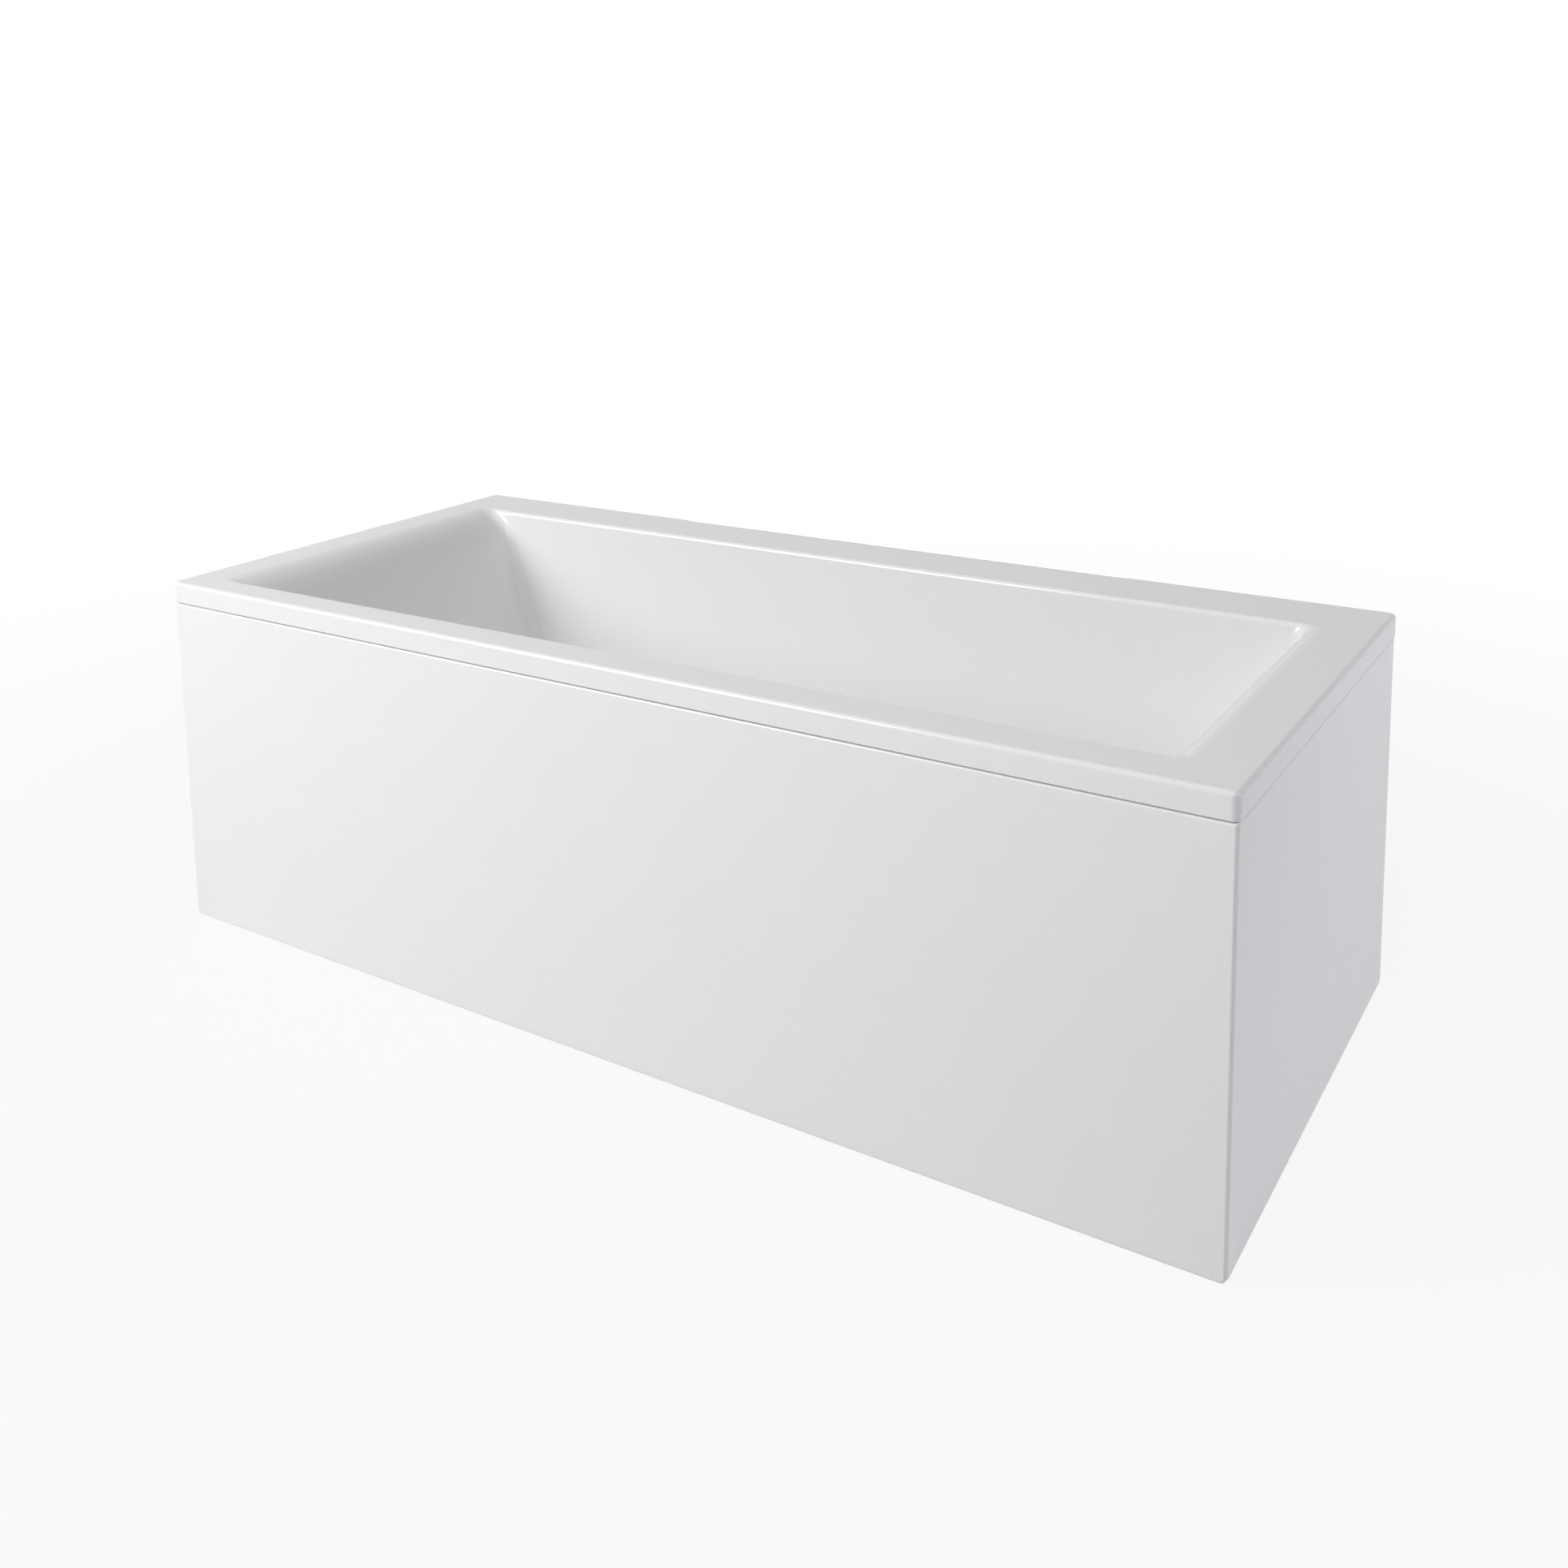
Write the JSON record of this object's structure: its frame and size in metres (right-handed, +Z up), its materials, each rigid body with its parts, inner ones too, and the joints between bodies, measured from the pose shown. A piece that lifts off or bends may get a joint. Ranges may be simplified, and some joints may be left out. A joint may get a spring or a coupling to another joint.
{
  "type": "bathtub",
  "caption": "Rectangular acrylic bath for a corner: flat rim, sloping backrest, front and end panels, levelling feet, wall brackets, pop-up waste, overflow and trap.",
  "frame": {"origin": "centre of the bath's footprint, at floor level", "axes": "+X along the bath to its foot end, where the waste is; +Y to the wall behind the long side; +Z up"},
  "size_m": [1.7, 0.75, 0.56],
  "materials": {
    "acrylic": "polished white acrylic",
    "batten_wood": "planed softwood",
    "board_wood": "raw chipboard",
    "zinc_steel": "galvanised sheet",
    "bright_steel": "bright zinc plate",
    "foot_plastic": "moulded black nylon",
    "chrome": "polished chrome plate",
    "brass": "turned brass",
    "seal_rubber": "black rubber",
    "waste_plastic": "moulded white polypropylene",
    "hose_plastic": "ribbed grey polypropylene",
    "cable_plastic": "white sheath"
  },
  "bodies": {
    "bath": {"tub_shell": "acrylic", "front_panel": "acrylic", "end_panel": "acrylic", "rim_batten_front": "batten_wood", "rim_batten_back": "batten_wood", "rim_batten_head": "batten_wood", "rim_batten_foot": "batten_wood", "base_board": "board_wood", "cradle_head": "zinc_steel", "cradle_foot": "zinc_steel", "centre_bracket": "zinc_steel", "front_panel_hooks": "zinc_steel", "end_panel_hooks": "zinc_steel", "front_panel_stay_head": "zinc_steel", "front_panel_stay_foot": "zinc_steel", "end_panel_stay_front": "zinc_steel", "end_panel_stay_back": "zinc_steel", "panel_corner_clips": "zinc_steel", "wall_bracket_back_head": "zinc_steel", "wall_bracket_back_foot": "zinc_steel", "wall_bracket_head": "zinc_steel", "foot_lock_nuts": "bright_steel", "cradle_screws": "bright_steel", "board_screws": "bright_steel", "rim_screws": "bright_steel", "panel_screws": "bright_steel", "waste_flange": "chrome", "overflow_flange": "chrome", "waste_gasket": "seal_rubber", "overflow_gasket": "seal_rubber", "waste_body": "waste_plastic", "overflow_body": "waste_plastic", "drive_housing": "waste_plastic", "cable_guide": "waste_plastic", "hose_nut_top": "waste_plastic", "hose_nut_bottom": "waste_plastic", "trap_body": "waste_plastic", "trap_inlet_nut": "waste_plastic", "trap_outlet_nut": "waste_plastic", "outlet_pipe": "waste_plastic", "overflow_hose": "hose_plastic", "control_cable": "cable_plastic"},
    "knob": {"overflow_knob": "chrome", "knob_spindle": "brass"},
    "plug": {"waste_plug": "chrome", "plug_seal": "seal_rubber", "lift_pin": "brass"},
    "foot_head_front": {"levelling_stud_head_front": "bright_steel", "levelling_pad_head_front": "foot_plastic"},
    "foot_head_back": {"levelling_stud_head_back": "bright_steel", "levelling_pad_head_back": "foot_plastic"},
    "foot_foot_front": {"levelling_stud_foot_front": "bright_steel", "levelling_pad_foot_front": "foot_plastic"},
    "foot_foot_back": {"levelling_stud_foot_back": "bright_steel", "levelling_pad_foot_back": "foot_plastic"},
    "foot_centre": {"levelling_stud_centre": "bright_steel", "levelling_pad_centre": "foot_plastic"}
  },
  "joints": [
    {"name": "knob_turn", "type": "hinge", "parent": "bath", "child": "knob", "pos_m": [0.74551, -0.024, 0.455], "axis": [-0.9903, 0, 0.1392], "range_deg": [0, 90]},
    {"name": "plug_lift", "type": "slide", "parent": "bath", "child": "plug", "axis": [0, 0, 1], "range_m": [0, 0.009]},
    {"name": "foot_level_head_front", "type": "slide", "parent": "bath", "child": "foot_head_front", "axis": [0, 0, -1], "range_m": [-0.01, 0.03]},
    {"name": "foot_level_head_back", "type": "slide", "parent": "bath", "child": "foot_head_back", "axis": [0, 0, -1], "range_m": [-0.01, 0.03]},
    {"name": "foot_level_foot_front", "type": "slide", "parent": "bath", "child": "foot_foot_front", "axis": [0, 0, -1], "range_m": [-0.01, 0.03]},
    {"name": "foot_level_foot_back", "type": "slide", "parent": "bath", "child": "foot_foot_back", "axis": [0, 0, -1], "range_m": [-0.01, 0.03]},
    {"name": "foot_level_centre", "type": "slide", "parent": "bath", "child": "foot_centre", "axis": [0, 0, -1], "range_m": [-0.01, 0.02]}
  ],
  "couplings": [
    {"joint": "plug_lift", "follows": "knob_turn", "m_per_rad": 0.0057296}
  ]
}
